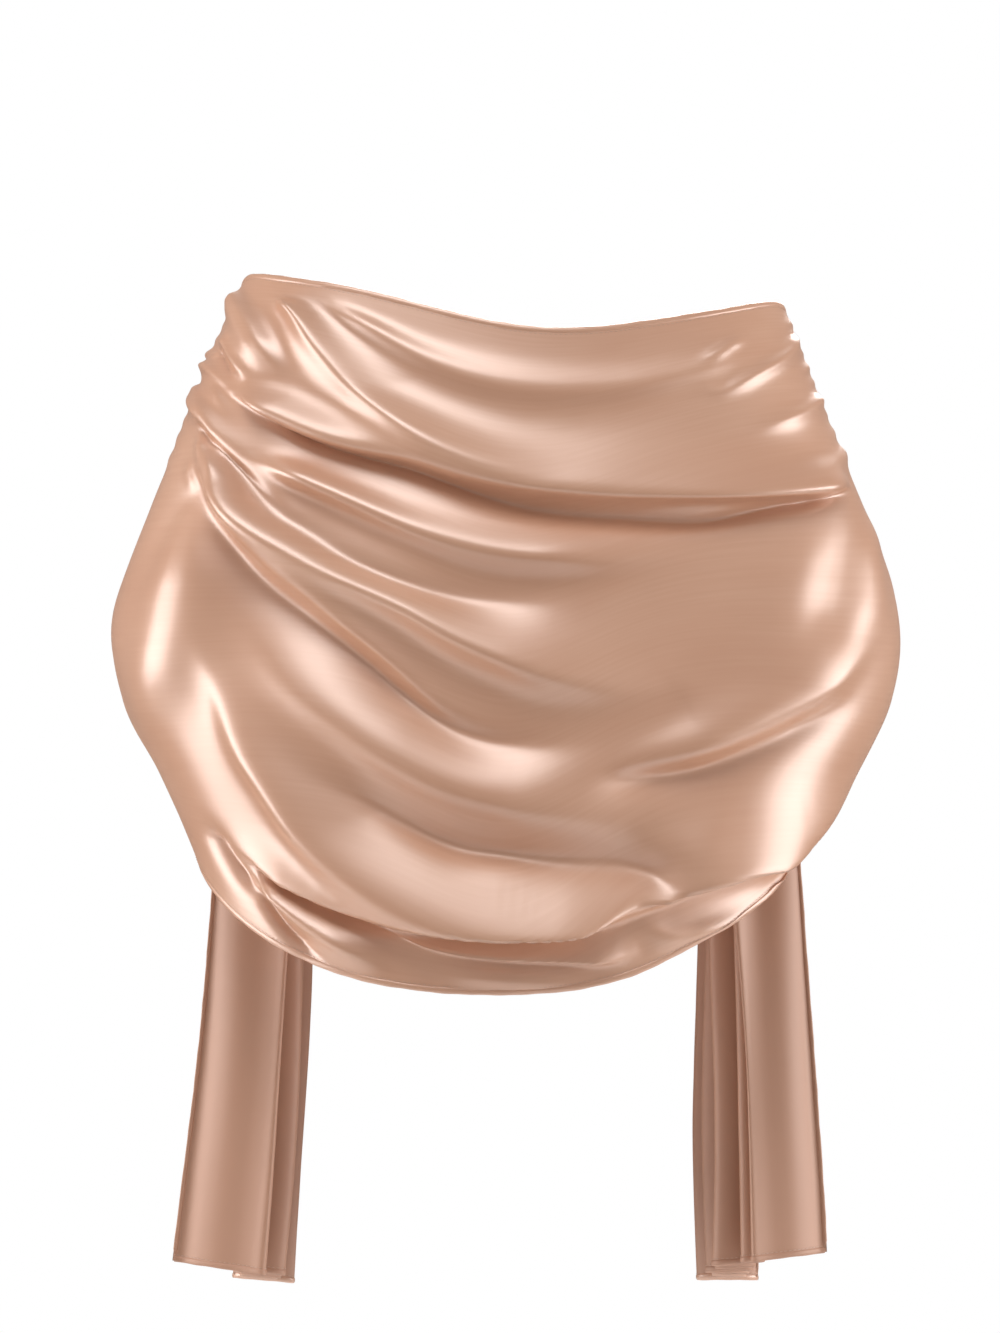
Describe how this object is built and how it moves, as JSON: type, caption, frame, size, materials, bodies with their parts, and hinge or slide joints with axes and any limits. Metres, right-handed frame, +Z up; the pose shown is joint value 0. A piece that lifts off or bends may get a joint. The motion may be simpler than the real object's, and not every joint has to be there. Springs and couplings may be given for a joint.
{
  "type": "evening stole",
  "caption": "Long satin stole worn low round the back and sides, gathered over two crooks, with pleated ends hanging down.",
  "frame": {"origin": "midway between the crooks of the two bent elbows that carry the stole, where the wearer holds it", "axes": "+Z up, +Y the way the wearer faces, +X the wearer's right"},
  "size_m": [0.5904, 0.3848, 0.7879],
  "materials": {
    "satin_back": "glossy champagne satin",
    "satin_side": "glossy champagne satin, drawn into wrinkles",
    "satin_loop": "satin gathered over the crook",
    "satin_tail": "softer satin, hanging in pleats"
  },
  "bodies": {
    "root": {"back": "satin_back", "left_side": "satin_side", "left_loop": "satin_loop", "left_tail": "satin_tail", "right_side": "satin_side", "right_loop": "satin_loop", "right_tail": "satin_tail"}
  },
  "joints": []
}
